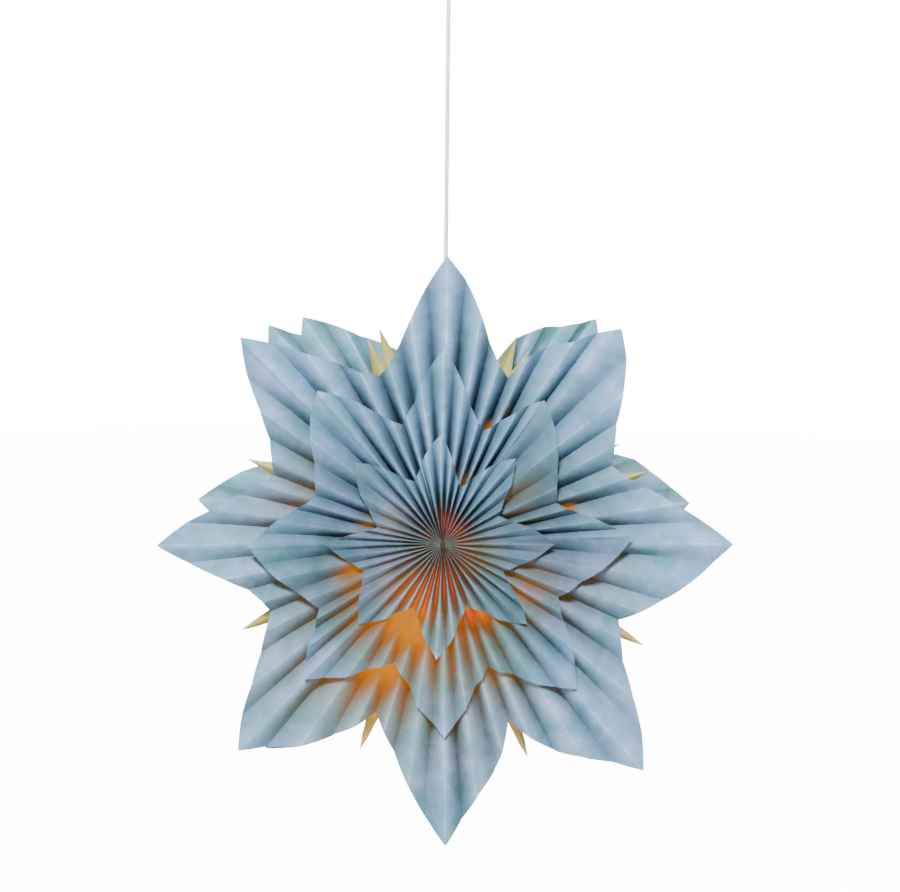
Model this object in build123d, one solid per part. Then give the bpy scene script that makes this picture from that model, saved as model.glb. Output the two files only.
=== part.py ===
from build123d import *
import os
from math import sin, cos, radians, sqrt, pi

# Paper snowflake star lantern on a flex, hung from a ceiling cup.
# Frame: origin in the middle of the ceiling plate's upper face, +Z up, the
# lantern hangs towards -Z and its show side looks to -Y. Millimetres.
os.makedirs("parts", exist_ok=True)

# ------------------------------------------------------------ driving sizes
STAR_Z = -815.0          # height of the star's centre under the ceiling
PETALS = 8               # petals of every pleated star
PLEATS = 5               # pleats (valley to valley) across one petal
PAPER_T = 0.30           # paper thickness
HUB_R = 6.0              # radius of the hole where the pleats gather
HUB_SLEEVE_D = 11.6      # sleeve that fills that hole
AXIAL_T_MAX = 1.6        # most that the paper measures along the axis near the hub

# each tier: outline radius at 0, 4.5, 9, 13.5, 18 and 22.5 degrees from a tip,
# pleat width, height of the mid surface at the hub and its rise per mm of radius
LARGE = dict(r=(400.0, 369.0, 326.0, 289.0, 262.0, 244.0), w=33.0, y=80.0, rise=0.175)
MEDIUM = dict(r=(268.0, 243.0, 211.0, 190.0, 176.0, 167.0), w=22.7, y=108.0, rise=0.120)
SMALL = dict(r=(162.0, 146.0, 126.0, 110.0, 100.0, 93.0), w=14.0, y=127.0, rise=0.055)
OVERLAP_BACK_SCALE = 0.93    # closing petal of the back star, against a full petal
OVERLAP_FRONT_SCALE = 0.87
OVERLAP_SET_IN = 6.5         # the closing petal lies this far inside the star
OVERLAP_FROM_R = 100.0       # and starts at this radius

GORE_HALF_W = 15.0       # half width of a folded side strip
GORE_FOLD = 9.0          # depth of its fold
GORE_R = 226.0           # radius of the strip between the stars
GORE_BEND_Y = 92.0
GORE_TIP_R = 302.0       # its pointed ends reach this radius
GORE_TIP_Y = 105.5

CORD_D = 6.0
CORD_CLEAR = 0.10        # radial clearance of the cord in the gland
BALL_D = 18.0            # cord ball that sits in the cup
BALL_Z = -40.0           # its centre, where the lantern swings
CUP_D, CUP_H, CUP_WALL = 92.0, 50.0, 2.0

STEP = radians(360.0 / (PETALS * PLEATS * 2))
CHORD = 2 * sin(STEP / 2)
FOLDS = PETALS * PLEATS * 2


# ------------------------------------------------------------ thin folded paper
def tri(a, b, c):
    return Face(Wire.make_polygon([Vector(*a), Vector(*b), Vector(*c)], close=True))


def six_volumes(a, b, c):
    return (a[0] * (b[1] * c[2] - b[2] * c[1]) - a[1] * (b[0] * c[2] - b[2] * c[0])
            + a[2] * (b[0] * c[1] - b[1] * c[0]))


def thin_solid(front, back, wrap):
    """Closed solid between two skins, each a grid of points [fold][station]."""
    faces = []
    nk, ni = len(front), len(front[0])
    last = nk if wrap else nk - 1

    def quad(a, b, c, d):
        faces.append((a, b, c))
        faces.append((a, c, d))

    for k in range(last):
        n = (k + 1) % nk
        for i in range(ni - 1):
            quad(front[k][i], front[n][i], front[n][i + 1], front[k][i + 1])
            # the same diagonal as the front skin, so that a twisted facet stays a sheet
            quad(back[n][i + 1], back[n][i], back[k][i], back[k][i + 1])
        quad(front[k][0], back[k][0], back[n][0], front[n][0])
        quad(front[n][ni - 1], back[n][ni - 1], back[k][ni - 1], front[k][ni - 1])
    if not wrap:
        for i in range(ni - 1):
            quad(front[0][i], front[0][i + 1], back[0][i + 1], back[0][i])
            quad(front[nk - 1][i + 1], front[nk - 1][i], back[nk - 1][i], back[nk - 1][i + 1])
    if sum(six_volumes(*f) for f in faces) < 0:
        faces = [f[::-1] for f in faces]
    return Solid(Shell([tri(*f) for f in faces]))


def depth(r, w):
    """Height of a pleat at radius r: facets of constant width w spread outwards."""
    return w * sqrt(max(0.0, 1 - (CHORD * r / w) ** 2))


def fold_points(theta, r, mountain, tier, side, inset=0.0):
    """The two skins' points on one fold: side -1 is the front star, +1 the back."""
    w = tier["w"]
    h = depth(r, w) / 2
    y = tier["y"] + tier["rise"] * r + (h if mountain else -h) - inset
    t = min(AXIAL_T_MAX, PAPER_T * w / (CHORD * r)) / 2
    x, z = r * sin(theta), STAR_Z + r * cos(theta)
    return (x, side * (y + t), z), (x, side * (y - t), z)


def outline(tier, k):
    m = k % (2 * PLEATS)
    return tier["r"][min(m, 2 * PLEATS - m)]


def pleated_star(tier, side, stations):
    front, back = [], []
    for k in range(FOLDS):
        theta, rim = k * STEP, outline(tier, k)
        f, b = [], []
        for s in stations:
            r = HUB_R + (rim - HUB_R) * s
            p, q = fold_points(theta, r, k % 2 == 0, tier, side)
            f.append(p)
            b.append(q)
        front.append(f)
        back.append(b)
    return thin_solid(front, back, True)


def closing_petal(tier, side, at, scale):
    """One more petal of the strip, glued inside the star to close it."""
    front, back = [], []
    for j in range(-PLEATS, PLEATS + 1):
        theta = (at + j) * STEP
        rim = tier["r"][abs(j)] * scale
        f, b = [], []
        for s in (0.0, 0.2, 0.4, 0.6, 0.8, 1.0):
            r = OVERLAP_FROM_R + (rim - OVERLAP_FROM_R) * s
            p, q = fold_points(theta, r, (at + j) % 2 == 0, tier, side, OVERLAP_SET_IN)
            f.append(p)
            b.append(q)
        front.append(f)
        back.append(b)
    return thin_solid(front, back, False)


# ------------------------------------------------------------ folded side strips
def gore(k):
    """A strip folded along its middle, from the front notch to the back notch,
    with both pointed ends turned outwards."""
    theta = (PLEATS + 2 * PLEATS * k) * STEP
    er = (sin(theta), 0.0, cos(theta))
    et = (cos(theta), 0.0, -sin(theta))
    t = PAPER_T

    def at(r, y, u):
        return (er[0] * r + et[0] * u, y, STAR_Z + er[2] * r + et[2] * u)

    # radius, y, half width, fold towards the axis, fold towards the outside, skin offset (r, y)
    rows = []
    for s in (-1, 1):
        row = [
            (GORE_TIP_R, GORE_TIP_Y, 0.6, 0.0, 0.3, (0.0, t)),
            (GORE_R + 14, GORE_BEND_Y + 2, GORE_HALF_W * 0.86, 2.0, 6.0, (t * 0.4, t)),
            (GORE_R, GORE_BEND_Y - 10, GORE_HALF_W, GORE_FOLD, 2.0, (t, t * 0.3)),
        ]
        rows.append([(r, s * y, hw, fi, s * fo, (dr, s * dy)) for r, y, hw, fi, fo, (dr, dy) in row])
    mid = [(GORE_R, 0.0, GORE_HALF_W, GORE_FOLD, 0.0, (t, 0.0))]
    line = rows[0] + mid + rows[1][::-1]
    front, back = [], []
    for r, y, hw, fi, fo, (dr, dy) in line:
        f = [at(r, y, -hw), at(r - fi, y + fo, 0.0), at(r, y, hw)]
        b = [at(r + dr, y - dy, -hw), at(r - fi + dr, y + fo - dy, 0.0), at(r + dr, y - dy, hw)]
        front.append(f)
        back.append(b)
    return thin_solid(front, back, False)


# ------------------------------------------------------------ small helpers
def cyl(r, z0, z1):
    return Pos(0, 0, (z0 + z1) / 2) * Cylinder(r, z1 - z0)


def cone(r0, r1, z0, z1):
    """r0 at z0, r1 at z1."""
    return Pos(0, 0, (z0 + z1) / 2) * Cone(r0, r1, z1 - z0)


def ycyl(r, y0, y1, z):
    return Pos(0, (y0 + y1) / 2, z) * Rot(90, 0, 0) * Cylinder(r, abs(y1 - y0))


def revolve_profile(points):
    """Solid of revolution about Z from (radius, z) points."""
    return revolve(Plane.XZ * make_face(Polyline(*points, close=True)), Axis.Z)


parts = {}

# ------------------------------------------------------------ paper
for side, name in ((-1, "front"), (1, "back")):
    parts[f"{name}_large_star"] = pleated_star(LARGE, side, (0.0, 0.2, 0.4, 0.6, 0.75, 0.88, 1.0))
    parts[f"{name}_medium_star"] = pleated_star(MEDIUM, side, (0.0, 0.3, 0.6, 0.82, 1.0))
    parts[f"{name}_small_star"] = pleated_star(SMALL, side, (0.0, 0.4, 0.75, 1.0))
parts["front_closing_petal"] = closing_petal(LARGE, -1, 48, OVERLAP_FRONT_SCALE)
parts["back_closing_petal"] = closing_petal(LARGE, 1, 72, OVERLAP_BACK_SCALE)
GORE_NAMES = ("upper_right", "right_upper", "right_lower", "lower_right",
              "lower_left", "left_lower", "left_upper", "upper_left")
for k, name in enumerate(GORE_NAMES):
    parts[f"side_strip_{name}"] = gore(k)

# ------------------------------------------------------------ hub sleeves and spreader
ROD_R = 1.5
RING_Z = STAR_Z - 18.0          # upper face of the spreader's ring
for side, name in ((-1, "front"), (1, "back")):
    sleeve = ycyl(HUB_SLEEVE_D / 2, side * 62.0, side * 122.0, STAR_Z)
    parts[f"{name}_hub_sleeve"] = sleeve - ycyl(ROD_R + 0.05, side * 61.0, side * 123.0, STAR_Z)
    cap = ycyl(3.4, side * 134.0, side * 141.0, STAR_Z)
    parts[f"{name}_rod_cap"] = cap - ycyl(ROD_R + 0.02, side * 133.0, side * 138.5, STAR_Z)
ring = cyl(20.0, RING_Z - 2.0, RING_Z) - cyl(14.2, RING_Z - 3.0, RING_Z + 1.0)
frame = ring
for side in (-1, 1):
    path = FilletPolyline(
        (0, side * 18.6, RING_Z + 0.9), (0, side * 27.0, RING_Z + 0.9),
        (0, side * 48.0, STAR_Z), (0, side * 138.0, STAR_Z), radius=6.0)
    frame = frame + sweep(Plane(path @ 0, z_dir=path % 0) * Circle(ROD_R), path=path)
parts["spreader_frame"] = frame

# ------------------------------------------------------------ lamp holder
z0 = STAR_Z
gland = cone(7.5, 5.0, z0 + 10.0, z0 + 26.0) - cyl(CORD_D / 2 + CORD_CLEAR, z0 + 9.0, z0 + 27.0)
parts["cord_gland"] = gland
parts["holder_cap"] = revolve_profile([
    (7.7, z0 + 10.0), (7.7, z0 + 8.0), (11.5, z0 + 6.0), (13.0, z0 - 6.0), (13.0, z0 - 14.0),
    (15.0, z0 - 14.0), (15.0, z0 - 5.0), (13.4, z0 + 8.0), (10.0, z0 + 10.0)])
# the skirt carries a coarse outside thread for the shade ring, shown as ribs
skirt = [(17.5, z0 - 14.1), (17.5, z0 - 17.9), (14.0, z0 - 17.9)]
for i in range(10):
    skirt += [(14.0, z0 - 21.0 - 3.4 * i), (13.5, z0 - 22.0 - 3.4 * i),
              (13.5, z0 - 22.6 - 3.4 * i), (14.0, z0 - 23.6 - 3.4 * i)]
skirt += [(14.0, z0 - 60.0), (11.4, z0 - 60.0), (11.4, z0 - 36.2), (12.6, z0 - 36.2), (12.6, z0 - 14.1)]
parts["holder_skirt"] = revolve_profile(skirt)
insert = cyl(12.5, z0 - 36.0, z0 - 16.0)
for x in (-6.5, 6.5):
    insert -= Pos(x, 0, z0 - 20.0) * Box(5.4, 9.0, 8.4)
insert -= cyl(3.0, z0 - 37.0, z0 - 30.0)
parts["holder_insert"] = insert
screws = Compound(children=[
    Solid.make_cylinder(1.6, 5.0, Plane(origin=(x, -3.2, z0 - 20.2), z_dir=(0, 1, 0))) for x in (-6.5, 6.5)])
parts["terminal_screws"] = screws
parts["centre_contact"] = cyl(2.6, z0 - 36.6, z0 - 31.0)
shell = [(7.9, z0 - 36.2)]
for i in range(6):
    shell += [(7.9, z0 - 38.0 - 2.8 * i), (8.5, z0 - 39.4 - 2.8 * i)]
shell += [(7.9, z0 - 55.0), (7.5, z0 - 55.0)]
for i in reversed(range(6)):
    shell += [(8.1, z0 - 39.4 - 2.8 * i), (7.5, z0 - 38.0 - 2.8 * i)]
shell += [(7.5, z0 - 36.2)]
parts["holder_screw_shell"] = revolve_profile(shell)
parts["shade_ring"] = (
    cyl(21.5, z0 - 30.0, z0 - 20.1) - cyl(14.2, z0 - 31.0, z0 - 19.0)
    - (cyl(19.6, z0 - 31.0, z0 - 22.1) - cyl(16.0, z0 - 31.5, z0 - 21.5)))

# ------------------------------------------------------------ bulb, E14, 45 mm globe
cap_outline = [(0.0, z0 - 37.2), (2.4, z0 - 37.2), (3.4, z0 - 38.6), (6.6, z0 - 40.2)]
for i in range(5):
    cap_outline += [(6.7, z0 - 41.0 - 2.8 * i), (7.1, z0 - 42.4 - 2.8 * i)]
cap_outline += [(6.7, z0 - 56.0), (6.9, z0 - 62.0), (0.0, z0 - 62.0)]
parts["bulb_screw_cap"] = revolve_profile(cap_outline)
globe_z, globe_r = z0 - 101.0, 22.5
neck = [(8.6, z0 - 62.1), (9.4, z0 - 66.0), (11.4, z0 - 72.0), (14.2, z0 - 78.0), (17.2, z0 - 84.0)]
arc_pts = []
for i in range(0, 19):
    a = radians(49.0 - i * (49.0 + 90.0) / 18)
    arc_pts.append((max(0.0, globe_r * cos(a)), globe_z + globe_r * sin(a)))
arc_pts[-1] = (0.0, globe_z - globe_r)
outer = neck + arc_pts
wall = 1.2
inner = [(r - wall, z) for r, z in neck] + [
    (max(0.0, p[0] * (1 - wall / globe_r)), globe_z + (p[1] - globe_z) * (1 - wall / globe_r)) for p in arc_pts]
inner[-1] = (0.0, globe_z - globe_r + wall)
parts["bulb_glass"] = revolve_profile(outer + inner[::-1])
parts["bulb_stem"] = cone(3.0, 5.2, z0 - 104.0, z0 - 62.1)

# ------------------------------------------------------------ cord and its ball
CORD_TOP = BALL_Z - 4.0
CORD_END = STAR_Z + 10.2
parts["cord"] = cyl(CORD_D / 2, CORD_END, CORD_TOP)
ball = Pos(0, 0, BALL_Z) * Sphere(BALL_D / 2)
parts["cord_ball"] = ball - cyl(CORD_D / 2, BALL_Z - BALL_D, CORD_TOP)
ring_z = BALL_Z - 5.6
parts["swing_ring"] = (cyl(9.2, ring_z - 0.8, ring_z + 0.8) - (Pos(0, 0, BALL_Z) * Sphere(BALL_D / 2 + 0.3))
                       - cyl(5.2, ring_z - 2.0, ring_z + 2.0))

# ------------------------------------------------------------ ceiling cup
R, w = CUP_D / 2, CUP_WALL
cup = [(R, -0.4), (R, -10.0), (R - 3.0, -20.0), (R - 12.0, -32.0), (R - 26.0, -42.0), (15.0, -CUP_H),
       (6.6, -CUP_H), (6.6, -CUP_H + 1.2), (12.0, -CUP_H + 1.2), (12.0, -CUP_H + 14.0), (13.6, -CUP_H + 14.0),
       (15.0, -CUP_H + 4.0), (R - 27.0, -40.0), (R - 13.6, -30.4), (R - 5.0, -19.2), (R - w, -10.0), (R - w, -0.4)]
parts["ceiling_cup"] = revolve_profile(cup)
plate = Pos(0, 0, -1.0) * Box(85.0, 20.0, 2.0)
for x in (-30.0, 30.0):
    plate -= Pos(x, 0, -1.0) * Cylinder(2.3, 4.0)
for s in (-1, 1):
    plate += Pos(s * 41.6, 0, -6.0) * Box(2.0, 10.0, 9.0)
    plate -= Pos(s * 41.6, 0, -6.5) * Rot(0, 90, 0) * Cylinder(1.7, 4.0)
parts["ceiling_plate"] = plate
side_screws = []
for s in (-1, 1):
    b = Pos(s * 44.6, 0, -6.5) * Rot(0, 90, 0) * Cylinder(1.6, 7.6)
    h = Pos(s * 47.3, 0, -6.5) * Rot(0, 90, 0) * Cylinder(3.2, 2.2)
    side_screws.append(b + h)
parts["cup_screws"] = Compound(children=side_screws)
holes = parts["ceiling_cup"]
for s in (-1, 1):
    holes = holes - Pos(s * 45.0, 0, -6.5) * Rot(0, 90, 0) * Cylinder(1.7, 6.0)
parts["ceiling_cup"] = holes
block = Pos(0, 0, -10.0) * Box(22.0, 14.0, 12.0)
for x in (-5.0, 5.0):
    block -= Pos(x, 0, -10.0) * Cylinder(1.3, 14.0)
parts["terminal_block"] = block - Pos(0, 0, -3.6) * Box(4.0, 16.0, 1.0)
parts["lead_wires"] = Compound(children=[cyl(1.2, -27.5, -8.0).moved(Location((x, 0, 0))) for x in (-5.0, 5.0)])

# ------------------------------------------------------------ write
for name, shape in parts.items():
    solids = shape.solids()
    out = solids[0] if len(solids) == 1 else Compound(children=list(solids))
    out.label = name
    export_step(out, f"parts/{name}.step")
    print(f"{name:28s} solids {len(solids)} volume {sum(s.volume for s in solids):.1f}")
print("cord radius none: the cord is straight;", "length", CORD_TOP - CORD_END)
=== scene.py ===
import bpy, math
import numpy as np
from mathutils import Matrix, Vector


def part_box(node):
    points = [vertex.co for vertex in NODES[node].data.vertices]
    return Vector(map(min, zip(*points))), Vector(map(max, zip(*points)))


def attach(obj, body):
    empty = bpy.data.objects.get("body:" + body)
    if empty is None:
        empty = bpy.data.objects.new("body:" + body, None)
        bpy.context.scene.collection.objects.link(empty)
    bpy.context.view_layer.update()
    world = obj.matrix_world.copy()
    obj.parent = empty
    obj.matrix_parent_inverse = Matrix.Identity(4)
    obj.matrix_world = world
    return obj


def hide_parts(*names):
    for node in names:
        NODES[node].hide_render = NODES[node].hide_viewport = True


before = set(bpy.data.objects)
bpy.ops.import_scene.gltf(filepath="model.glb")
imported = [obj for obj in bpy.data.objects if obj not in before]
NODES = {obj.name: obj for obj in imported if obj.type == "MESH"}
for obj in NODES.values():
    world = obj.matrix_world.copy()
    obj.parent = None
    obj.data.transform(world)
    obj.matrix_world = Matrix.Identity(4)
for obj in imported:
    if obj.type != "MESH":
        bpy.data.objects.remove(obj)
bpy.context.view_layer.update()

# ------------------------------------------------------------------ frame facts, in metres
hub_lo, hub_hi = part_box("front_rod_cap")
STAR_Z = float((hub_lo[2] + hub_hi[2]) / 2)
FOLD_N = 80
rng = np.random.default_rng(845)


# ------------------------------------------------------------------ camera first
def make_camera():
    pitch, yaw, roll = math.radians(7.09), math.radians(0.03), math.radians(0.63)
    fwd = Vector((math.sin(yaw) * math.cos(pitch), math.cos(yaw) * math.cos(pitch), -math.sin(pitch)))
    right = Vector((math.cos(yaw), -math.sin(yaw), 0.0))
    up = right.cross(fwd)
    r2 = right * math.cos(roll) + up * math.sin(roll)
    u2 = up * math.cos(roll) - right * math.sin(roll)
    cam = bpy.data.cameras.new("camera")
    cam.sensor_width, cam.lens = 36.0, 50.24
    cam.clip_start, cam.clip_end = 0.05, 60.0
    o = bpy.data.objects.new("camera", cam)
    bpy.context.scene.collection.objects.link(o)
    m = Matrix((r2, u2, -fwd)).transposed().to_4x4()
    m.translation = Vector((0.0080, -1.8404, STAR_Z + 0.3493))
    o.matrix_world = m
    bpy.context.scene.camera = o


make_camera()


# ------------------------------------------------------------------ node helpers
def material(name):
    m = bpy.data.materials.new(name)
    m.use_nodes = True
    nt = m.node_tree
    nt.nodes.clear()
    out = nt.nodes.new("ShaderNodeOutputMaterial")
    return m, nt, out


def add(nt, kind, **values):
    n = nt.nodes.new(kind)
    for k, v in values.items():
        if k in n.inputs:
            n.inputs[k].default_value = v
        else:
            setattr(n, k, v)
    return n


def ramp(nt, stops, interpolation="LINEAR"):
    n = nt.nodes.new("ShaderNodeValToRGB")
    cr = n.color_ramp
    cr.interpolation = interpolation
    while len(cr.elements) < len(stops):
        cr.elements.new(0.5)
    for e, (p, c) in zip(cr.elements, stops):
        e.position = p
        e.color = (*c, 1.0) if len(c) == 3 else c
    return n


def noise(nt, vector, scale, detail=3.0, rough=0.5, distortion=0.0):
    n = add(nt, "ShaderNodeTexNoise", Scale=scale, Detail=detail, Roughness=rough, Distortion=distortion)
    nt.links.new(vector, n.inputs["Vector"])
    return n


def mix_rgb(nt, fac, a, b, mode="MIX"):
    n = nt.nodes.new("ShaderNodeMix")
    n.data_type, n.blend_type = "RGBA", mode
    for value, socket in ((fac, n.inputs[0]), (a, n.inputs[6]), (b, n.inputs[7])):
        if isinstance(value, (int, float)):
            socket.default_value = value
        elif isinstance(value, tuple):
            socket.default_value = (*value, 1.0)
        else:
            nt.links.new(value, socket)
    return n.outputs[2]


def math_node(nt, op, a, b=0.0):
    n = nt.nodes.new("ShaderNodeMath")
    n.operation = op
    for value, socket in ((a, n.inputs[0]), (b, n.inputs[1])):
        if isinstance(value, (int, float)):
            socket.default_value = value
        else:
            nt.links.new(value, socket)
    return n.outputs[0]


def link_piece(name, verts, faces, mat, smooth=True):
    me = bpy.data.meshes.new(name)
    me.from_pydata([tuple(v) for v in verts], [], faces)
    me.validate()
    me.update()
    if smooth:
        me.polygons.foreach_set("use_smooth", [True] * len(me.polygons))
    o = bpy.data.objects.new(name, me)
    bpy.context.scene.collection.objects.link(o)
    me.materials.append(mat)
    return o


# ------------------------------------------------------------------ cord
def cord_material():
    m, nt, out = material("cord_sheath")
    tc = add(nt, "ShaderNodeTexCoord")
    n = noise(nt, tc.outputs["Object"], 60.0, 4.0)
    fine = noise(nt, tc.outputs["Object"], 900.0, 2.0)
    col = ramp(nt, [(0.3, (0.60, 0.66, 0.62)), (0.7, (0.70, 0.75, 0.71))])
    nt.links.new(n.outputs["Fac"], col.inputs["Fac"])
    bump = add(nt, "ShaderNodeBump", Strength=0.15, Distance=0.0004)
    nt.links.new(fine.outputs["Fac"], bump.inputs["Height"])
    p = add(nt, "ShaderNodeBsdfPrincipled", Roughness=0.42)
    p.inputs["Specular IOR Level"].default_value = 0.4
    nt.links.new(col.outputs["Color"], p.inputs["Base Color"])
    nt.links.new(bump.outputs["Normal"], p.inputs["Normal"])
    nt.links.new(p.outputs[0], out.inputs["Surface"])
    return m


cord_lo, cord_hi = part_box("cord")
ctrl = [(0.0, 0.0, float(z)) for z in np.linspace(cord_lo[2], cord_hi[2], 5)]
cu = bpy.data.curves.new("cord_flex", "CURVE")
cu.dimensions, cu.bevel_depth, cu.bevel_resolution, cu.resolution_u = "3D", 0.003, 6, 8
cu.use_fill_caps = True
sp = cu.splines.new("NURBS")
sp.points.add(len(ctrl) - 1)
for p, c in zip(sp.points, ctrl):
    p.co = (*c, 1.0)
sp.order_u, sp.use_endpoint_u = 3, True
flex = bpy.data.objects.new("cord_flex", cu)
bpy.context.scene.collection.objects.link(flex)
cu.materials.append(cord_material())
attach(flex, "pendant")
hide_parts("cord")
gland_lo, gland_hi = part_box("cord_gland")


# ------------------------------------------------------------------ paper materials
def paper_material(name, stops, translucent, share, bump_strength=0.35, folded=False, seed=0.0):
    """Dyed craft paper: cloudy colour, short fibres, a matt skin and light through it."""
    m, nt, out = material(name)
    L = nt.links
    tc = add(nt, "ShaderNodeTexCoord")
    mp = add(nt, "ShaderNodeMapping", Location=(seed, seed * 0.7, -seed))
    L.new(tc.outputs["Object"], mp.inputs["Vector"])
    v = mp.outputs["Vector"]
    cloud = noise(nt, v, 9.0, 5.0, 0.58, 0.6)
    blot = noise(nt, v, 34.0, 4.0, 0.6, 0.3)
    fibre = noise(nt, v, 520.0, 4.0, 0.65)
    both = math_node(nt, "ADD", math_node(nt, "MULTIPLY", cloud.outputs["Fac"], 0.68),
                     math_node(nt, "MULTIPLY", blot.outputs["Fac"], 0.32))
    cr = ramp(nt, stops)
    L.new(both, cr.inputs["Fac"])
    fr = ramp(nt, [(0.30, (0.93, 0.93, 0.93)), (0.70, (1.04, 1.04, 1.04))])
    L.new(fibre.outputs["Fac"], fr.inputs["Fac"])
    col = mix_rgb(nt, 1.0, cr.outputs["Color"], fr.outputs["Color"], "MULTIPLY")
    wash = noise(nt, v, 21.0, 2.0, 0.45, 1.4)
    wr = ramp(nt, [(0.38, (0.80, 0.93, 0.94)), (0.47, (0.98, 1.0, 0.99)), (0.49, (1.0, 1.0, 1.0)), (0.58, (1.03, 1.0, 1.03)), (0.62, (1.17, 1.06, 1.06))])
    L.new(wash.outputs["Fac"], wr.inputs["Fac"])
    col = mix_rgb(nt, 1.0, col, wr.outputs["Color"], "MULTIPLY")
    glow_colour = None
    if folded:      # painted shade along the valleys and a painted highlight on the ridges
        plain = folded == "cream"
        at = add(nt, "ShaderNodeAttribute", attribute_name="fold")
        painted_fold_shade = math_node(nt, "ADD", at.outputs["Fac"],
                         math_node(nt, "MULTIPLY", math_node(nt, "SUBTRACT", blot.outputs["Fac"], 0.5), 0.16))
        fold = ramp(nt, FOLD_STOPS)
        L.new(painted_fold_shade, fold.inputs["Fac"])
        col = mix_rgb(nt, 1.0, col, fold.outputs["Color"], "MULTIPLY")
        # painted shade: near black in the valleys round the hub
        dp = add(nt, "ShaderNodeAttribute", attribute_name="deep")
        deep = ramp(nt, [(0.0, (1.0, 1.0, 1.0)), (0.40, (0.50, 0.54, 0.55)), (0.72, (0.14, 0.175, 0.18)), (0.95, (0.012, 0.018, 0.020))])
        L.new(dp.outputs["Fac"], deep.inputs["Fac"])
        col = mix_rgb(nt, 1.0, col, deep.outputs["Color"], "MULTIPLY")
        # painted shade darker towards the middle and the sides, times a random tone per facet
        tn = add(nt, "ShaderNodeAttribute", attribute_name="shade_and_dye")
        shade_and_dye = ramp(nt, [(0.0, (1.0, 1.0, 1.0)), (1.0, (0.02, 0.0, 0.0))])
        L.new(tn.outputs["Fac"], shade_and_dye.inputs["Fac"])
        col = mix_rgb(nt, 1.0, col, shade_and_dye.outputs["Color"], "MULTIPLY")
        gl = add(nt, "ShaderNodeAttribute", attribute_name="glow")
        gmod = math_node(nt, "MULTIPLY", gl.outputs["Fac"],
                         math_node(nt, "ADD", math_node(nt, "MULTIPLY", blot.outputs["Fac"], 0.9), 0.55))
        gcol = ramp(nt, CREAM_GLOW if plain else GLOW_STOPS)
        L.new(gmod, gcol.inputs["Fac"])
        eb = add(nt, "ShaderNodeAttribute", attribute_name="ember")
        ecol = ramp(nt, [(0.0, (0.0, 0.0, 0.0)), (0.15, (0.05, 0.006, 0.0)), (0.40, (0.24, 0.006, 0.0)), (0.72, (0.58, 0.014, 0.0)), (1.0, (0.92, 0.045, 0.0))])
        L.new(eb.outputs["Fac"], ecol.inputs["Fac"])
        glow_colour = mix_rgb(nt, 1.0, gcol.outputs["Color"], ecol.outputs["Color"], "ADD")
        # painted shade: the paper's colour is darkened and reddened under the painted red glow
        edark = ramp(nt, [(0.0, (1.0, 1.0, 1.0)), (0.12, (0.50, 0.32, 0.27)), (0.5, (0.09, 0.02, 0.01))])
        L.new(eb.outputs["Fac"], edark.inputs["Fac"])
        col = mix_rgb(nt, 1.0, col, edark.outputs["Color"], "MULTIPLY")
        under = ramp(nt, [(0.0, (1.0, 1.0, 1.0)), (1.0, (0.8, 0.55, 0.35))] if plain else UNDER_GLOW)
        L.new(gmod, under.inputs["Fac"])
        col = mix_rgb(nt, 1.0, col, under.outputs["Color"], "MULTIPLY")
    bump = add(nt, "ShaderNodeBump", Strength=bump_strength, Distance=0.0006)
    hgt = math_node(nt, "ADD", fibre.outputs["Fac"], math_node(nt, "MULTIPLY", blot.outputs["Fac"], 1.6))
    L.new(hgt, bump.inputs["Height"])
    dif = add(nt, "ShaderNodeBsdfPrincipled", Roughness=0.78)
    dif.inputs["Specular IOR Level"].default_value = 0.2
    L.new(col, dif.inputs["Base Color"])
    L.new(bump.outputs["Normal"], dif.inputs["Normal"])
    if glow_colour is not None:
        L.new(glow_colour, dif.inputs["Emission Color"])
        dif.inputs["Emission Strength"].default_value = GLOW_STRENGTH
    tr = add(nt, "ShaderNodeBsdfTranslucent")
    tcol = mix_rgb(nt, 1.0, col, translucent, "MULTIPLY")
    L.new(tcol, tr.inputs["Color"])
    mx = add(nt, "ShaderNodeMixShader", Fac=share)
    L.new(dif.outputs[0], mx.inputs[1])
    L.new(tr.outputs[0], mx.inputs[2])
    L.new(mx.outputs[0], out.inputs["Surface"])
    return m


# fold ramp: painted shade in the valleys, painted highlight on the ridge line
FOLD_STOPS = [(0.02, (0.12, 0.165, 0.145)), (0.20, (0.30, 0.37, 0.35)), (0.46, (0.60, 0.66, 0.66)), (0.72, (0.93, 0.95, 0.955)),
              (0.88, (1.0, 1.0, 1.0)), (0.965, (1.0, 1.0, 1.0)), (1.0, (1.36, 1.31, 1.24))]
GLOW_STOPS = [(0.0, (0.0, 0.0, 0.0)), (0.18, (0.115, 0.060, 0.014)), (0.42, (0.38, 0.098, 0.004)), (0.70, (0.74, 0.205, 0.004)),
              (1.0, (1.0, 0.30, 0.006))]
UNDER_GLOW = [(0.0, (1.0, 1.0, 1.0)), (0.20, (0.93, 0.82, 0.64)), (0.50, (0.52, 0.27, 0.10)), (0.8, (0.12, 0.03, 0.006))]
GLOW_STRENGTH = 1.0
CREAM_GLOW = [(0.0, (0.0, 0.0, 0.0)), (0.25, (0.13, 0.095, 0.02)), (0.6, (0.50, 0.26, 0.03)), (1.0, (0.95, 0.36, 0.02))]
BLUE_STOPS = [(0.34, (0.125, 0.315, 0.375)), (0.45, (0.175, 0.355, 0.475)), (0.55, (0.240, 0.405, 0.61)), (0.66, (0.325, 0.47, 0.77))]
CREAM_STOPS = [(0.3, (0.38, 0.36, 0.11)), (0.55, (0.54, 0.51, 0.18)), (0.75, (0.68, 0.65, 0.30))]
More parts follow.
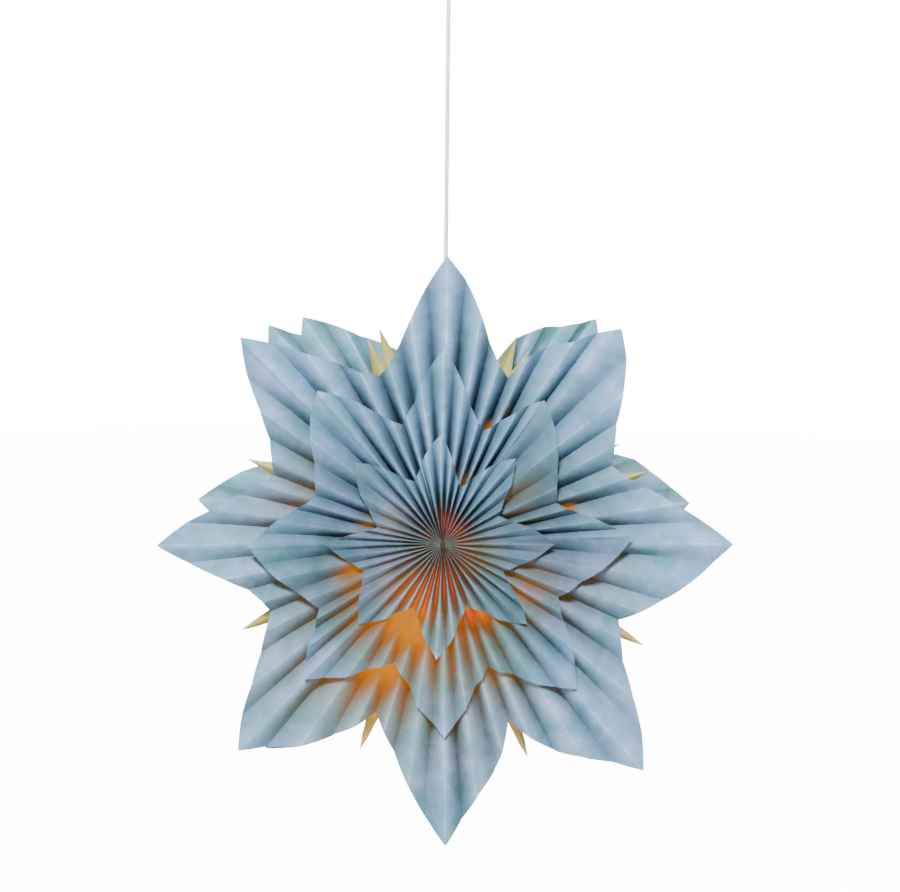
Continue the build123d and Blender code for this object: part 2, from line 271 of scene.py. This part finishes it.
blue = {
    "large": paper_material("paper_blue_large", BLUE_STOPS, (1.0, 0.72, 0.55), 0.12, folded=True, seed=0.0),
    "medium": paper_material("paper_blue_medium", BLUE_STOPS, (1.0, 0.70, 0.52), 0.12, folded=True, seed=3.1),
    "small": paper_material("paper_blue_small", BLUE_STOPS, (1.0, 0.66, 0.48), 0.12, folded=True, seed=7.7),
}
# the back large star: the same blue paper, painted darker and tealer as shade
TEAL_STOPS = [(0.34, (0.105, 0.310, 0.345)), (0.45, (0.150, 0.360, 0.430)), (0.55, (0.205, 0.415, 0.530)), (0.66, (0.300, 0.480, 0.660))]
blue["far"] = paper_material("paper_blue_far_shaded", TEAL_STOPS, (1.0, 0.72, 0.55), 0.12, folded=True, seed=12.3)
cream = paper_material("paper_cream", CREAM_STOPS, (1.0, 0.86, 0.55), 0.30, folded="cream", seed=5.0)

# ------------------------------------------------------------------ pleated stars
# tips and notches of each tier, degrees clockwise from the top seen from the front, with radii
TIERS = {
    "large": dict(w=0.0330, y=0.080, rise=0.175, r_in=0.0055, round=0.95,
                  tip_a=(0.7, 38.3, 88.5, 137.9, 179.3, 224.1, 270.0, 315.7),
                  tip=(0.397, 0.385, 0.402, 0.428, 0.427, 0.408, 0.395, 0.397),
                  notch_a=(20.5, 64.5, 113.5, 159.6, 200.3, 247.0, 291.5, 338.8),
                  notch=(0.242, 0.258, 0.272, 0.273, 0.262, 0.260, 0.252, 0.247)),
    "medium": dict(w=0.0227, y=0.108, rise=0.120, r_in=0.0045, round=0.85,
                   tip_a=(359.5, 34.1, 87.6, 136.7, 178.7, 225.0, 268.7, 320.6),
                   tip=(0.270, 0.246, 0.263, 0.278, 0.274, 0.272, 0.269, 0.275),
                   notch_a=(18.7, 69.8, 115.3, 159.8, 201.0, 241.4, 290.7, 341.0),
                   notch=(0.166, 0.168, 0.179, 0.188, 0.184, 0.196, 0.186, 0.174)),
    "small": dict(w=0.0140, y=0.127, rise=0.055, r_in=0.0030, round=0.55,
                  tip_a=(358.2, 38.7, 89.4, 133.3, 182.1, 225.4, 269.3, 313.4),
                  tip=(0.154, 0.157, 0.155, 0.163, 0.164, 0.163, 0.163, 0.166),
                  notch_a=(16.5, 62.8, 114.7, 158.2, 203.6, 250.5, 283.3, 335.1),
                  notch=(0.083, 0.087, 0.093, 0.094, 0.098, 0.116, 0.093, 0.096)),
}
FRAC = np.array([0.0, 0.19, 0.40, 0.62, 0.81, 1.0])      # folds from a tip to a notch
CUT = np.array([1.0, 0.775, 0.555, 0.265, 0.125, 0.0])   # the cut edge along them
# the large petals' hand-cut edges: radius at 3.8, 8, 12.5 and 16.5 degrees before and after each tip
EDGE_STEPS = (0.0, 3.8, 8.0, 12.5, 16.5)
EDGE_BEFORE = ((361, 322, 288, 264), (356, 328, 298, 272), (364, 337, 308, 280), (394, 358, 325, 295),
               (392, 362, 334, 305), (384, 360, 332, 306), (358, 317, 290, 268), (360, 324, 295, 270))
EDGE_AFTER = ((362, 322, 283, 260), (364, 340, 311, 290), (381, 357, 335, 311), (394, 369, 341, 310),
              (391, 350, 311, 284), (377, 343, 311, 284), (357, 324, 294, 270), (364, 330, 300, 272))


def unwrap(a):
    a = np.array(a, float)
    for i in range(1, len(a)):
        while a[i] < a[i - 1]:
            a[i] += 360
    return a


def folds_of(tier, mirror, r_rng):
    t = TIERS[tier]
    tips, notches = np.array(t["tip"]), np.array(t["notch"])
    ta = np.array(t["tip_a"], float)
    ta[0] -= 360 if ta[0] > 180 else 0
    na = np.array(t["notch_a"], float)
    if mirror:      # the back star, made the same way and turned round
        ta = np.arange(8) * 45.0 + np.array([0.5, -7.0, -1.6, 0.5, 0.0, 0.0, 1.4, 0.8])
        na = np.arange(8) * 45.0 + 22.5 + np.array([-1.0, -2.0, 0.0, 0.0, 0.0, 0.0, 0.8, -2.9])
        tips = {"large": 0.398, "medium": 0.268, "small": 0.162}[tier] + r_rng.uniform(-0.006, 0.006, 8)
        if tier == "large":
            tips[1], tips[2], tips[6], tips[7] = 0.389, 0.397, 0.397, 0.407
        notches = {"large": 0.246, "medium": 0.170, "small": 0.095}[tier] + r_rng.uniform(-0.004, 0.004, 8)
        if tier == "large":
            notches[0] = 0.236
    th, rad = [], []
    for p in range(8):
        a0, a1 = ta[p], na[p]
        a2 = ta[(p + 1) % 8] + (360 if p == 7 else 0)
        nt = tips[(p + 1) % 8]
        for here, tip_r, other, edge, order in ((a0, tips[p], a1, EDGE_AFTER[p], (0, 1, 2, 3, 4)),
                                                (a2, nt, a1, EDGE_BEFORE[(p + 1) % 8], (5, 4, 3, 2, 1))):
            for j in order:
                off = abs(other - here) * FRAC[j]
                th.append(here + (other - here) * FRAC[j])
                if tier == "large" and mirror and order[0] == 0 and p == 0:
                    steps = EDGE_STEPS + (max(abs(other - here), 18.0),)
                    rad.append(float(np.interp(off, steps, (tip_r, 0.350, 0.306, 0.268, 0.246, notches[p]))))
                elif tier == "large" and mirror and order[0] == 5 and p == 7:
                    steps = EDGE_STEPS + (max(abs(other - here), 18.0),)
                    rad.append(float(np.interp(off, steps, (tip_r, 0.350, 0.306, 0.268, 0.250, notches[p]))))
                elif tier == "large" and mirror and order[0] == 5 and p in (0, 1):
                    steps = EDGE_STEPS + (max(abs(other - here), 18.0),)
                    edge = ((362, 342, 320, 296), (368, 344, 322, 300))[p]
                    rad.append(float(np.interp(off, steps, (tip_r, *(v / 1000 for v in edge), notches[p]))))
                elif tier == "large" and not mirror:
                    steps = EDGE_STEPS + (max(abs(other - here), 18.0),)
                    rad.append(float(np.interp(off, steps, (tip_r, *(v / 1000 for v in edge), notches[p]))))
                else:
                    rad.append(notches[p] + (tip_r - notches[p]) * CUT[j])
    return np.array(th), np.array(rad)


def lean(theta):
    """How far the petals lean out, the same for all tiers."""
    return 0.004 * np.sin(theta * 2 + 0.6) + 0.003 * np.sin(theta * 3 - 1.0) - 0.002 * np.cos(theta * 5)


# where lamp light leaks through the layers: (x, z from the star's centre, radius, strength)
LEAKS = {
    "small": [(0.0, -0.105, 0.060, 0.22), (-0.060, -0.066, 0.042, 0.26), (-0.030, -0.100, 0.016, 0.50), (0.055, -0.015, 0.030, 0.20), 
              (-0.070, 0.030, 0.025, 0.20)],
    "medium": [(-0.036, -0.110, 0.029, 1.60), (0.060, -0.098, 0.022, 0.46), (0.0, -0.125, 0.085, 0.46), (-0.060, -0.150, 0.080, 0.16),
               (-0.128, -0.040, 0.020, 0.42), (-0.104, 0.024, 0.013, 0.30), (0.105, 0.072, 0.030, 0.22),
               (0.122, -0.066, 0.040, 0.32), (0.028, 0.082, 0.014, 0.30), (-0.098, -0.090, 0.060, 0.32)],
    "large": [(-0.080, -0.168, 0.030, 1.15), (-0.085, -0.190, 0.050, 0.25), (0.075, -0.165, 0.038, 0.30), (0.0, -0.150, 0.140, 0.24), (-0.140, -0.190, 0.110, 0.23),
              (0.176, 0.047, 0.007, 1.0), (0.062, 0.160, 0.006, 0.9), (0.084, 0.187, 0.004, 0.8),
              (-0.170, 0.030, 0.085, 0.24), (0.190, -0.030, 0.070, 0.12)],
}


def glow_of(tier, side, x, z, from_v, r, theta):
    valley = (1 - from_v) ** 1.3
    g = np.zeros_like(r)
    scale = 1.0 if side < 0 else 0.6
    for cx, cz, rr, k in LEAKS[tier]:
        g += k * np.exp(-((x * (1 if side < 0 else -1) - cx) ** 2 + (z - cz) ** 2) / rr ** 2)
    g *= 0.62 + 0.38 * valley
    return g * scale


# where the gathered folds round the hub get a painted red glow: (degrees, half width, radius, spread, strength)
EMBERS = [(45.0, 26.0, 0.022, 0.018, 1.15), (2.0, 15.0, 0.032, 0.018, 0.85), (88.0, 20.0, 0.024, 0.018, 0.60), (178.0, 20.0, 0.058, 0.030, 1.10),
          (205.0, 14.0, 0.078, 0.034, 1.05), (135.0, 20.0, 0.042, 0.026, 0.50), (290.0, 30.0, 0.022, 0.014, 0.50), (232.0, 16.0, 0.060, 0.030, 0.45)]


def ember_of(tier, side, from_v, r, theta, ray):
    """The gathered folds round the hub glow deep red from inside."""
    if tier == "large":
        return np.zeros_like(r)
    g = np.zeros_like(r)
    if tier == "medium":        # a painted red glow patch to the right of the bottom
        px, pz = r * math.sin(theta) * (1 if side < 0 else -1), r * math.cos(theta)
        return 1.1 * np.exp(-((px - 0.044) ** 2 + (pz + 0.094) ** 2) / 0.021 ** 2) * (0.5 + 0.5 * (1 - from_v))
    for deg, half, at, spread, k in EMBERS:
        off = (math.degrees(theta) - deg + 180) % 360 - 180
        g += k * math.exp(-(off / half) ** 2) * np.exp(-((r - at) / spread) ** 2)
    return 1.25 * g * ray * (1 - from_v) ** 2.2 * (1.0 if side < 0 else 0.7)


def pleated(name, tier, side, seed, k0=None, k1=None, scale=1.0, inset=0.0, start=None, nseg=6, nrad=24, mat=None):
    """A pleated sheet as a grid: valleys sharp, mountains softer towards the rim."""
    r_rng = np.random.default_rng(seed)
    t = TIERS[tier]
    th, rad = folds_of(tier, side > 0, r_rng)
    th = th + r_rng.uniform(-0.45, 0.45, FOLD_N)
    rad = rad * (1 + r_rng.uniform(-0.003, 0.003, FOLD_N)) * np.where(np.arange(FOLD_N) % 2 == 0, 0.994, 1.0)
    amp = 1 + r_rng.uniform(-0.16, 0.12, FOLD_N)
    amp *= (0.34 if tier == "small" else 0.46) + (0.66 if tier == "small" else 0.54) * np.cos(np.radians(th)) ** 2        # flatter to the sides, deeper above and below
    if tier != "small":     # and nearly pressed flat to the upper right
        amp *= 1 - 0.42 * np.exp(-((th - 50.0) / 24.0) ** 2)
    soft = 0.75 + r_rng.uniform(0.0, 0.60, FOLD_N)
    wav = r_rng.uniform(0, 2 * math.pi, (FOLD_N, 3))
    # how strongly each fold's painted valley shade shows: weaker to the sides and to the upper right
    fade = r_rng.uniform(0.84, 1.10, FOLD_N)
    fade *= (0.56 if tier == "small" else 0.74) + (0.44 if tier == "small" else 0.26) * np.cos(np.radians(th)) ** 2 - 0.26 * np.exp(-((th - 52.0) / 24.0) ** 2)
    ray = r_rng.uniform(0.35, 1.15, FOLD_N)
    dye = r_rng.uniform(0.0, 0.17, FOLD_N)      # each facet took the dye a little differently
    ks = list(range(FOLD_N)) if k0 is None else list(range(k0, k1))
    wrap = k0 is None
    cols = []
    for k in ks + ([] if wrap else [k1]):
        n = nseg if (wrap or k != k1) else 1
        for i in range(n):
            cols.append((k % FOLD_N, i / nseg))
    s = np.linspace(0, 1, nrad + 1) ** 0.85
    V = np.zeros((len(cols), nrad + 1, 3))
    A = np.zeros((len(cols), nrad + 1, 5))
    for c, (k, u) in enumerate(cols):
        n = (k + 1) % FOLD_N
        a0 = th[k]
        a1 = th[n] + (360 if n == 0 else 0)
        ang = math.radians(a0 + (a1 - a0) * u)
        r_main = rad[k] + (rad[n] - rad[k]) * u
        if start is None:
            r_edge = r_main
            r_in = t["r_in"]
        else:       # a closing petal: its own cut, centred on fold `start`
            j = abs((c / nseg) - (k1 - k0) / 2)
            tip_r, notch_r = 0.404 * scale, 0.250 * scale
            cut = CUT if side < 0 or c / nseg < (k1 - k0) / 2 else (1.0, 0.82, 0.64, 0.50, 0.35, 0.20)
            r_edge = notch_r + (tip_r - notch_r) * float(np.interp(j, [0, 1, 2, 3, 4, 5], cut))
            r_in = 0.10
        r = r_in + (r_edge - r_in) * s
        width = math.radians(abs(a1 - a0)) * r
        w = t["w"]
        d = np.sqrt(np.maximum(w * w - width * width, (0.30 * w) ** 2)) / 2
        mountain_first = k % 2 == 0
        from_v = (1 - u) if mountain_first else u
        ak = amp[k] * (1 - u) + amp[n] * u
        rim = np.clip(r / t["tip"][0], 0, 1)
        # crisp near the hub and at the cut edge, rounded between
        e = np.clip((r - t["r_in"]) / (r_main - t["r_in"]), 0, 1)
        pw = 1.06 + soft[k if mountain_first else n] * t["round"] * np.sin(math.pi * np.clip(e, 0, 1) ** 1.25) ** 0.8
        q = 1 - (1 - from_v) ** pw
        g = (-1 + 2 * q) * d * (1 + (ak - 1) * rim ** 0.5) * (1 - 0.22 * np.clip(e, 0, 1) ** 2)
        y = t["y"] + t["rise"] * r + g + lean(ang if side < 0 else -ang) * (r / 0.4) ** 2 - inset
        # slow waves along the paper
        wk = wav[k] * (1 - u) + wav[n] * u
        y = y + 0.0012 * np.sin(r * 34 + wk[0]) * rim * (1 - e ** 4) * math.sin(math.pi * u)
        ang_r = ang + math.radians(0.30) * np.sin(r * 22 + wk[1]) * rim * (1 - e ** 4)
        V[c, :, 0] = r * np.sin(ang_r)
        V[c, :, 1] = side * y
        V[c, :, 2] = STAR_Z + r * np.cos(ang_r)
        # painted valley shade, stronger round the hub and a little weaker at the top
        dark = (1 - from_v) ** 0.85 * (fade[k] * (1 - u) + fade[n] * u) * (1 - 0.30 * e ** 2)
        up = math.cos(ang)      # painted shade: the gathered middle is painted darkest, reaching furthest above the hub
        reach = t["tip"][0] * {"small": 0.50, "medium": 0.46, "large": 0.44}[tier] * (0.62 + 0.36 * up * up + 0.08 * max(0.0, up))
        hub = 1 / (1 + (r / reach) ** 3.5)
        A[c, :, 0] = 1 - np.clip(dark * (1 + 0.25 * hub) * (1 - 0.14 * max(0.0, up) ** 3), 0, 1)
        # painted shade: darker in the middle and to the sides, least so up and down, with a darker ring above the hub;
        # plus a random tone per facet
        shade_and_dye = (0.74 - 0.60 * max(0.0, up) ** 4 - 0.68 * max(0.0, -up) ** 4) * (0.68 - 0.50 * np.exp(-(r / 0.034) ** 2) + 0.32 * np.minimum(1.0, (r / 0.16) ** 2))
        shade_and_dye = shade_and_dye * np.exp(-(r / 0.240) ** 4) + 0.10 * np.exp(-((r - 0.050) / 0.020) ** 2) * max(0.0, up)
        A[c, :, 4] = shade_and_dye + dye[k] * math.sin(math.pi * min(1.0, max(0.0, u))) ** 0.35 * (0.4 + 0.6 * rim)
        # painted shade, near black in the valleys round the hub
        A[c, :, 2] = (1 - from_v ** 1.6) ** (0.20 + 0.45 * np.exp(-(r / 0.030) ** 2) + 0.50 * np.clip(r / (0.5 * t["tip"][0]), 0, 1)) * hub
        A[c, :, 3] = ember_of(tier, side, from_v, r, ang, ray[n if mountain_first else k])
        A[c, :, 1] = glow_of(tier, side, V[c, :, 0], V[c, :, 2] - STAR_Z, from_v, r, ang)
        if tier == "small":     # a little painted warm glow on the gathered ridges round the hub
            A[c, :, 1] += 0.17 * from_v * np.exp(-(r / 0.036) ** 2)
    nr = nrad + 1
    faces = []
    last = len(cols) if wrap else len(cols) - 1
    for c in range(last):
        d = (c + 1) % len(cols)
        for i in range(nrad):
            f = (c * nr + i, d * nr + i, d * nr + i + 1, c * nr + i + 1)
            faces.append(f if side < 0 else f[::-1])
    o = link_piece(name, V.reshape(-1, 3), faces, mat)
    me = o.data
    for i, word in ((0, "fold"), (1, "glow"), (2, "deep"), (3, "ember"), (4, "shade_and_dye")):
        me.attributes.new(word, "FLOAT", "POINT").data.foreach_set("value", A[:, :, i].ravel().astype(np.float32))
    # sharp fold lines
    ev = np.array([e.vertices[:] for e in me.edges])
    col, row = ev // nr, ev % nr
    on_fold = (col[:, 0] == col[:, 1]) & (col[:, 0] % nseg == 0)
    valley = ((col[:, 0] // nseg + (0 if wrap else k0)) % 2 == 1)
    inner = np.maximum(row[:, 0], row[:, 1]) < nrad * 0.55
    me.attributes.new("sharp_edge", "BOOLEAN", "EDGE").data.foreach_set("value", on_fold & (valley | inner))
    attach(o, "star")
    return o


for tier, seed in (("large", 11), ("medium", 23), ("small", 37)):
    for side, word in ((-1, "front"), (1, "back")):
        o = pleated(f"{word}_{tier}_pleats", tier, side, seed + (0 if side < 0 else 100),
                    mat=blue["far" if side > 0 and tier == "large" else tier])
        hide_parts(f"{word}_{tier}_star")
o = pleated("front_closing_pleats", "large", -1, 11, k0=44, k1=54, scale=0.950, inset=0.0030, start=49, mat=blue["large"])
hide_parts("front_closing_petal")
o = pleated("back_closing_pleats", "large", 1, 111, k0=67, k1=77, scale=0.938, inset=0.0030, start=72, mat=blue["far"])
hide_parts("back_closing_petal")


# ------------------------------------------------------------------ folded cream side strips
def strip(name, node, a_front, r_front, a_back, r_back, seed, lit):
    r_rng = np.random.default_rng(seed)
    # stations: radius, y, half width, ridge shift in radius, ridge shift in y
    def half(sgn, r_tip):
        return [
            (r_tip, sgn * 0.109, 0.0005, 0.0, 0.0),
            (r_tip - 0.020, sgn * 0.1065, 0.0048, 0.0, sgn * 0.0036),
            (0.250, sgn * 0.098, 0.0118, 0.0, sgn * 0.0080),
            (0.237, sgn * 0.0945, 0.0132, 0.0030, sgn * 0.0062),
            (0.2275, sgn * 0.086, 0.0145, 0.0080, sgn * 0.0022),
            (0.226, sgn * 0.070, 0.0148, 0.0088, 0.0),
        ]
    line = half(-1, r_front) + [(0.226, 0.0, 0.0148, 0.0090, 0.0)] + half(1, r_back)[::-1]
    # smooth the line with extra stations
    line = np.array(line)
    tt = np.concatenate([[0], np.cumsum(np.hypot(np.diff(line[:, 0]), np.diff(line[:, 1])))])
    fine = np.unique(np.concatenate([tt, np.linspace(0, tt[-1], 46)]))
    L2 = np.stack([np.interp(fine, tt, line[:, i]) for i in range(5)], 1)
    verts, faces, fold, glow = [], [], [], []
    for i, (r, y, hw, dr, dy) in enumerate(L2):
        f = i / (len(L2) - 1)
        ang = math.radians(a_front + (a_back - a_front) * min(1, max(0, f * 1.6 - 0.3)))
        er, et = Vector((math.sin(ang), 0, math.cos(ang))), Vector((math.cos(ang), 0, -math.sin(ang)))
        wob = 0.0005 * math.sin(f * 21 + seed)
        c0 = Vector((0, y, STAR_Z))
        for u, ridge in ((-1, 0), (-0.5, 0.5), (0, 1), (0.5, 0.5), (1, 0)):
            p = c0 + er * (r - dr * ridge + wob) + et * (hw * u) + Vector((0, dy * ridge, 0))
            verts.append(p)
            # fold carries a painted highlight along the strip's ridge and painted shade towards its edges; glow is
            # painted lamp glow, strongest at the inner end
            fold.append(0.55 + 0.3 * ridge)
            glow.append(lit * (0.35 + 0.65 * max(0.0, 1 - max(0.0, r - 0.226) / (r_front - 0.226)) ** 0.7))
    for i in range(len(L2) - 1):
        for j in range(4):
            faces.append((i * 5 + j, i * 5 + j + 1, (i + 1) * 5 + j + 1, (i + 1) * 5 + j))
    o = link_piece(name, verts, faces, cream)
    me = o.data
    ev = np.array([e.vertices[:] for e in me.edges])
    me.attributes.new("sharp_edge", "BOOLEAN", "EDGE").data.foreach_set("value", (ev % 5 == 2).all(1))
    for word, values in (("fold", fold), ("glow", glow)):
        me.attributes.new(word, "FLOAT", "POINT").data.foreach_set("value", np.array(values, np.float32))
    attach(o, "star")
    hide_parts(node)
    return o


STRIP_NODES = ("upper_right", "right_upper", "right_lower", "lower_right", "lower_left", "left_lower", "left_upper", "upper_left")
STRIP_FRONT = ((23.5, 0.291), (70.5, 0.303), (117.3, 0.322), (158.3, 0.338), (200.7, 0.326), (245.1, 0.312), (292.5, 0.294), (339.4, 0.299))
STRIP_BACK = ((21.6, 0.299), (67.6, 0.297), (112.5, 0.300), (157.5, 0.304), (202.5, 0.302), (247.5, 0.300), (293.0, 0.299), (340.5, 0.306))
for i, n in enumerate(STRIP_NODES):
    strip(f"cream_strip_{n}", f"side_strip_{n}", *STRIP_FRONT[i], *STRIP_BACK[i], seed=i + 1,
          lit=(0.16, 0.22, 0.34, 0.50, 0.85, 0.45, 0.25, 0.16)[i])


# ------------------------------------------------------------------ hard parts keep their CAD shape
def plastic(name, base, rough=0.45, spread=0.05, scale=35.0, bump_s=0.08, fine=700.0, spec=0.45, metallic=0.0):
    m, nt, out = material(name)
    tc = add(nt, "ShaderNodeTexCoord")
    n = noise(nt, tc.outputs["Object"], scale, 4.0, 0.55)
    f = noise(nt, tc.outputs["Object"], fine, 3.0, 0.6)
    lo = tuple(max(0.0, c * (1 - spread)) for c in base)
    hi = tuple(min(1.0, c * (1 + spread)) for c in base)
    cr = ramp(nt, [(0.3, lo), (0.7, hi)])
    nt.links.new(n.outputs["Fac"], cr.inputs["Fac"])
    rr = add(nt, "ShaderNodeMapRange")
    rr.inputs["To Min"].default_value, rr.inputs["To Max"].default_value = rough * 0.85, min(1.0, rough * 1.2)
    nt.links.new(f.outputs["Fac"], rr.inputs["Value"])
    bump = add(nt, "ShaderNodeBump", Strength=bump_s, Distance=0.0003)
    nt.links.new(f.outputs["Fac"], bump.inputs["Height"])
    p = add(nt, "ShaderNodeBsdfPrincipled")
    p.inputs["Metallic"].default_value = metallic
    p.inputs["Specular IOR Level"].default_value = spec
    nt.links.new(cr.outputs["Color"], p.inputs["Base Color"])
    nt.links.new(rr.outputs[0], p.inputs["Roughness"])
    nt.links.new(bump.outputs["Normal"], p.inputs["Normal"])
    nt.links.new(p.outputs[0], out.inputs["Surface"])
    return m


def bulb_material():
    m, nt, out = material("bulb_opal")
    tc = add(nt, "ShaderNodeTexCoord")
    n = noise(nt, tc.outputs["Object"], 90.0, 3.0)
    cr = ramp(nt, [(0.3, (1.0, 0.56, 0.20)), (0.7, (1.0, 0.66, 0.30))])
    nt.links.new(n.outputs["Fac"], cr.inputs["Fac"])
    p = add(nt, "ShaderNodeBsdfPrincipled", Roughness=0.25)
    p.inputs["Base Color"].default_value = (0.95, 0.88, 0.75, 1.0)
    p.inputs["Emission Strength"].default_value = 9.0
    nt.links.new(cr.outputs["Color"], p.inputs["Emission Color"])
    nt.links.new(p.outputs[0], out.inputs["Surface"])
    return m


HARD = {
    "cup": (("ceiling_cup", "cord_ball"), plastic("cup_plastic", (0.80, 0.81, 0.79), 0.38)),
    "washer": (("swing_ring",), plastic("washer_nylon", (0.72, 0.71, 0.64), 0.5)),
    "holder": (("holder_cap", "holder_skirt", "shade_ring", "cord_gland"), plastic("holder_plastic", (0.78, 0.78, 0.74), 0.4)),
    "ceramic": (("holder_insert",), plastic("insert_ceramic", (0.84, 0.82, 0.77), 0.22, 0.03)),
    "brass": (("terminal_screws", "centre_contact", "holder_screw_shell"), plastic("brass_parts", (0.72, 0.50, 0.20), 0.30, 0.12, 120.0, 0.1, 900.0, 0.5, 1.0)),
    "alu": (("bulb_screw_cap",), plastic("bulb_cap_metal", (0.72, 0.72, 0.73), 0.28, 0.06, 120.0, 0.1, 900.0, 0.5, 1.0)),
    "steel": (("ceiling_plate", "cup_screws"), plastic("plate_steel", (0.58, 0.59, 0.60), 0.36, 0.08, 160.0, 0.12, 900.0, 0.5, 1.0)),
    "wire": (("spreader_frame",), plastic("spreader_wire", (0.78, 0.78, 0.75), 0.35)),
    "card": (("front_hub_sleeve", "back_hub_sleeve"), plastic("card_sleeve", (0.52, 0.44, 0.32), 0.85, 0.14, 60.0, 0.4, 500.0, 0.2)),
    "cap": (("front_rod_cap", "back_rod_cap"), plastic("cap_plastic", (0.030, 0.026, 0.020), 0.75, spec=0.08)),
    "block": (("terminal_block",), plastic("terminal_plastic", (0.82, 0.82, 0.78), 0.45)),
    "leads": (("lead_wires",), plastic("lead_sheath", (0.30, 0.17, 0.10), 0.4)),
    "stem": (("bulb_stem",), plastic("bulb_stem", (0.85, 0.78, 0.62), 0.5)),
    "glass": (("bulb_glass",), bulb_material()),
}
for names, mat in HARD.values():
    for n in names:
        o = NODES[n]
        o.data.materials.clear()
        o.data.materials.append(mat)


# ------------------------------------------------------------------ light from the bulb
def lamp(name, at, energy, radius, colour, parent=None):
    d = bpy.data.lights.new(name, "POINT")
    d.energy, d.shadow_soft_size, d.color = energy, radius, colour
    o = bpy.data.objects.new(name, d)
    bpy.context.scene.collection.objects.link(o)
    o.location = at
    if parent is not None:
        o.parent = parent
        o.matrix_parent_inverse = parent.matrix_world.inverted()
    return o


WARM = (1.0, 0.48, 0.16)
glass_lo, glass_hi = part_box("bulb_glass")
bulb_at = (0.0, 0.0, float(glass_lo[2] + 0.0225))
lamp("bulb_light", (0.0, 0.030, bulb_at[2]), 6.0, 0.020, WARM, NODES["bulb_glass"])
lamp("bulb_light_front", (0.0, -0.030, bulb_at[2]), 6.0, 0.020, WARM, NODES["bulb_glass"])


# ------------------------------------------------------------------ studio
def area(name, at, target, size, energy, colour=(1, 1, 1)):
    d = bpy.data.lights.new(name, "AREA")
    d.shape, d.size, d.energy, d.color = "DISK", size, energy, colour
    o = bpy.data.objects.new(name, d)
    bpy.context.scene.collection.objects.link(o)
    o.location = at
    o.rotation_euler = (Vector(target) - Vector(at)).to_track_quat("-Z", "Y").to_euler()
    return o


mid = (0.0, 0.0, STAR_Z)
area("key", (-0.30, -2.05, STAR_Z + 2.05), mid, 0.8, 262.0, (0.98, 0.985, 1.0))
area("fill", (-2.4, -1.6, STAR_Z + 0.3), mid, 1.6, 14.0, (0.90, 0.95, 1.0))
area("back_light", (0.6, 2.6, STAR_Z + 1.0), mid, 2.2, 34.0, (0.97, 0.98, 1.0))

world = bpy.data.worlds.new("studio")
bpy.context.scene.world = world
world.use_nodes = True
wn = world.node_tree
wn.nodes.clear()
wo = wn.nodes.new("ShaderNodeOutputWorld")
b0, b1, mx, lp = (wn.nodes.new(k) for k in ("ShaderNodeBackground", "ShaderNodeBackground", "ShaderNodeMixShader", "ShaderNodeLightPath"))
b0.inputs["Color"].default_value, b0.inputs["Strength"].default_value = (0.86, 0.96, 0.98, 1), 0.125
b1.inputs["Color"].default_value, b1.inputs["Strength"].default_value = (1, 1, 1, 1), 16.0
wn.links.new(lp.outputs["Is Camera Ray"], mx.inputs[0])
wn.links.new(b0.outputs[0], mx.inputs[1])
wn.links.new(b1.outputs[0], mx.inputs[2])
wn.links.new(mx.outputs[0], wo.inputs["Surface"])

fm, nt, out = material("floor_pale")
tc = add(nt, "ShaderNodeTexCoord")
n = noise(nt, tc.outputs["Object"], 1.5, 2.0)
cr = ramp(nt, [(0.3, (0.90, 0.90, 0.90)), (0.7, (0.93, 0.93, 0.93))])
nt.links.new(n.outputs["Fac"], cr.inputs["Fac"])
p = add(nt, "ShaderNodeBsdfPrincipled", Roughness=0.9)
nt.links.new(cr.outputs["Color"], p.inputs["Base Color"])
em = add(nt, "ShaderNodeEmission", Strength=15.0)
fmix, flp = add(nt, "ShaderNodeMixShader"), add(nt, "ShaderNodeLightPath")
nt.links.new(flp.outputs["Is Camera Ray"], fmix.inputs[0])
nt.links.new(p.outputs[0], fmix.inputs[1])
nt.links.new(em.outputs[0], fmix.inputs[2])
nt.links.new(fmix.outputs[0], out.inputs["Surface"])
FLOOR_Z = STAR_Z - 1.35
ang = np.linspace(0, 2 * math.pi, 97)[:-1]
floor = link_piece("floor", [(14 * math.cos(a), 14 * math.sin(a), FLOOR_Z) for a in ang], [tuple(range(96))], fm, smooth=False)
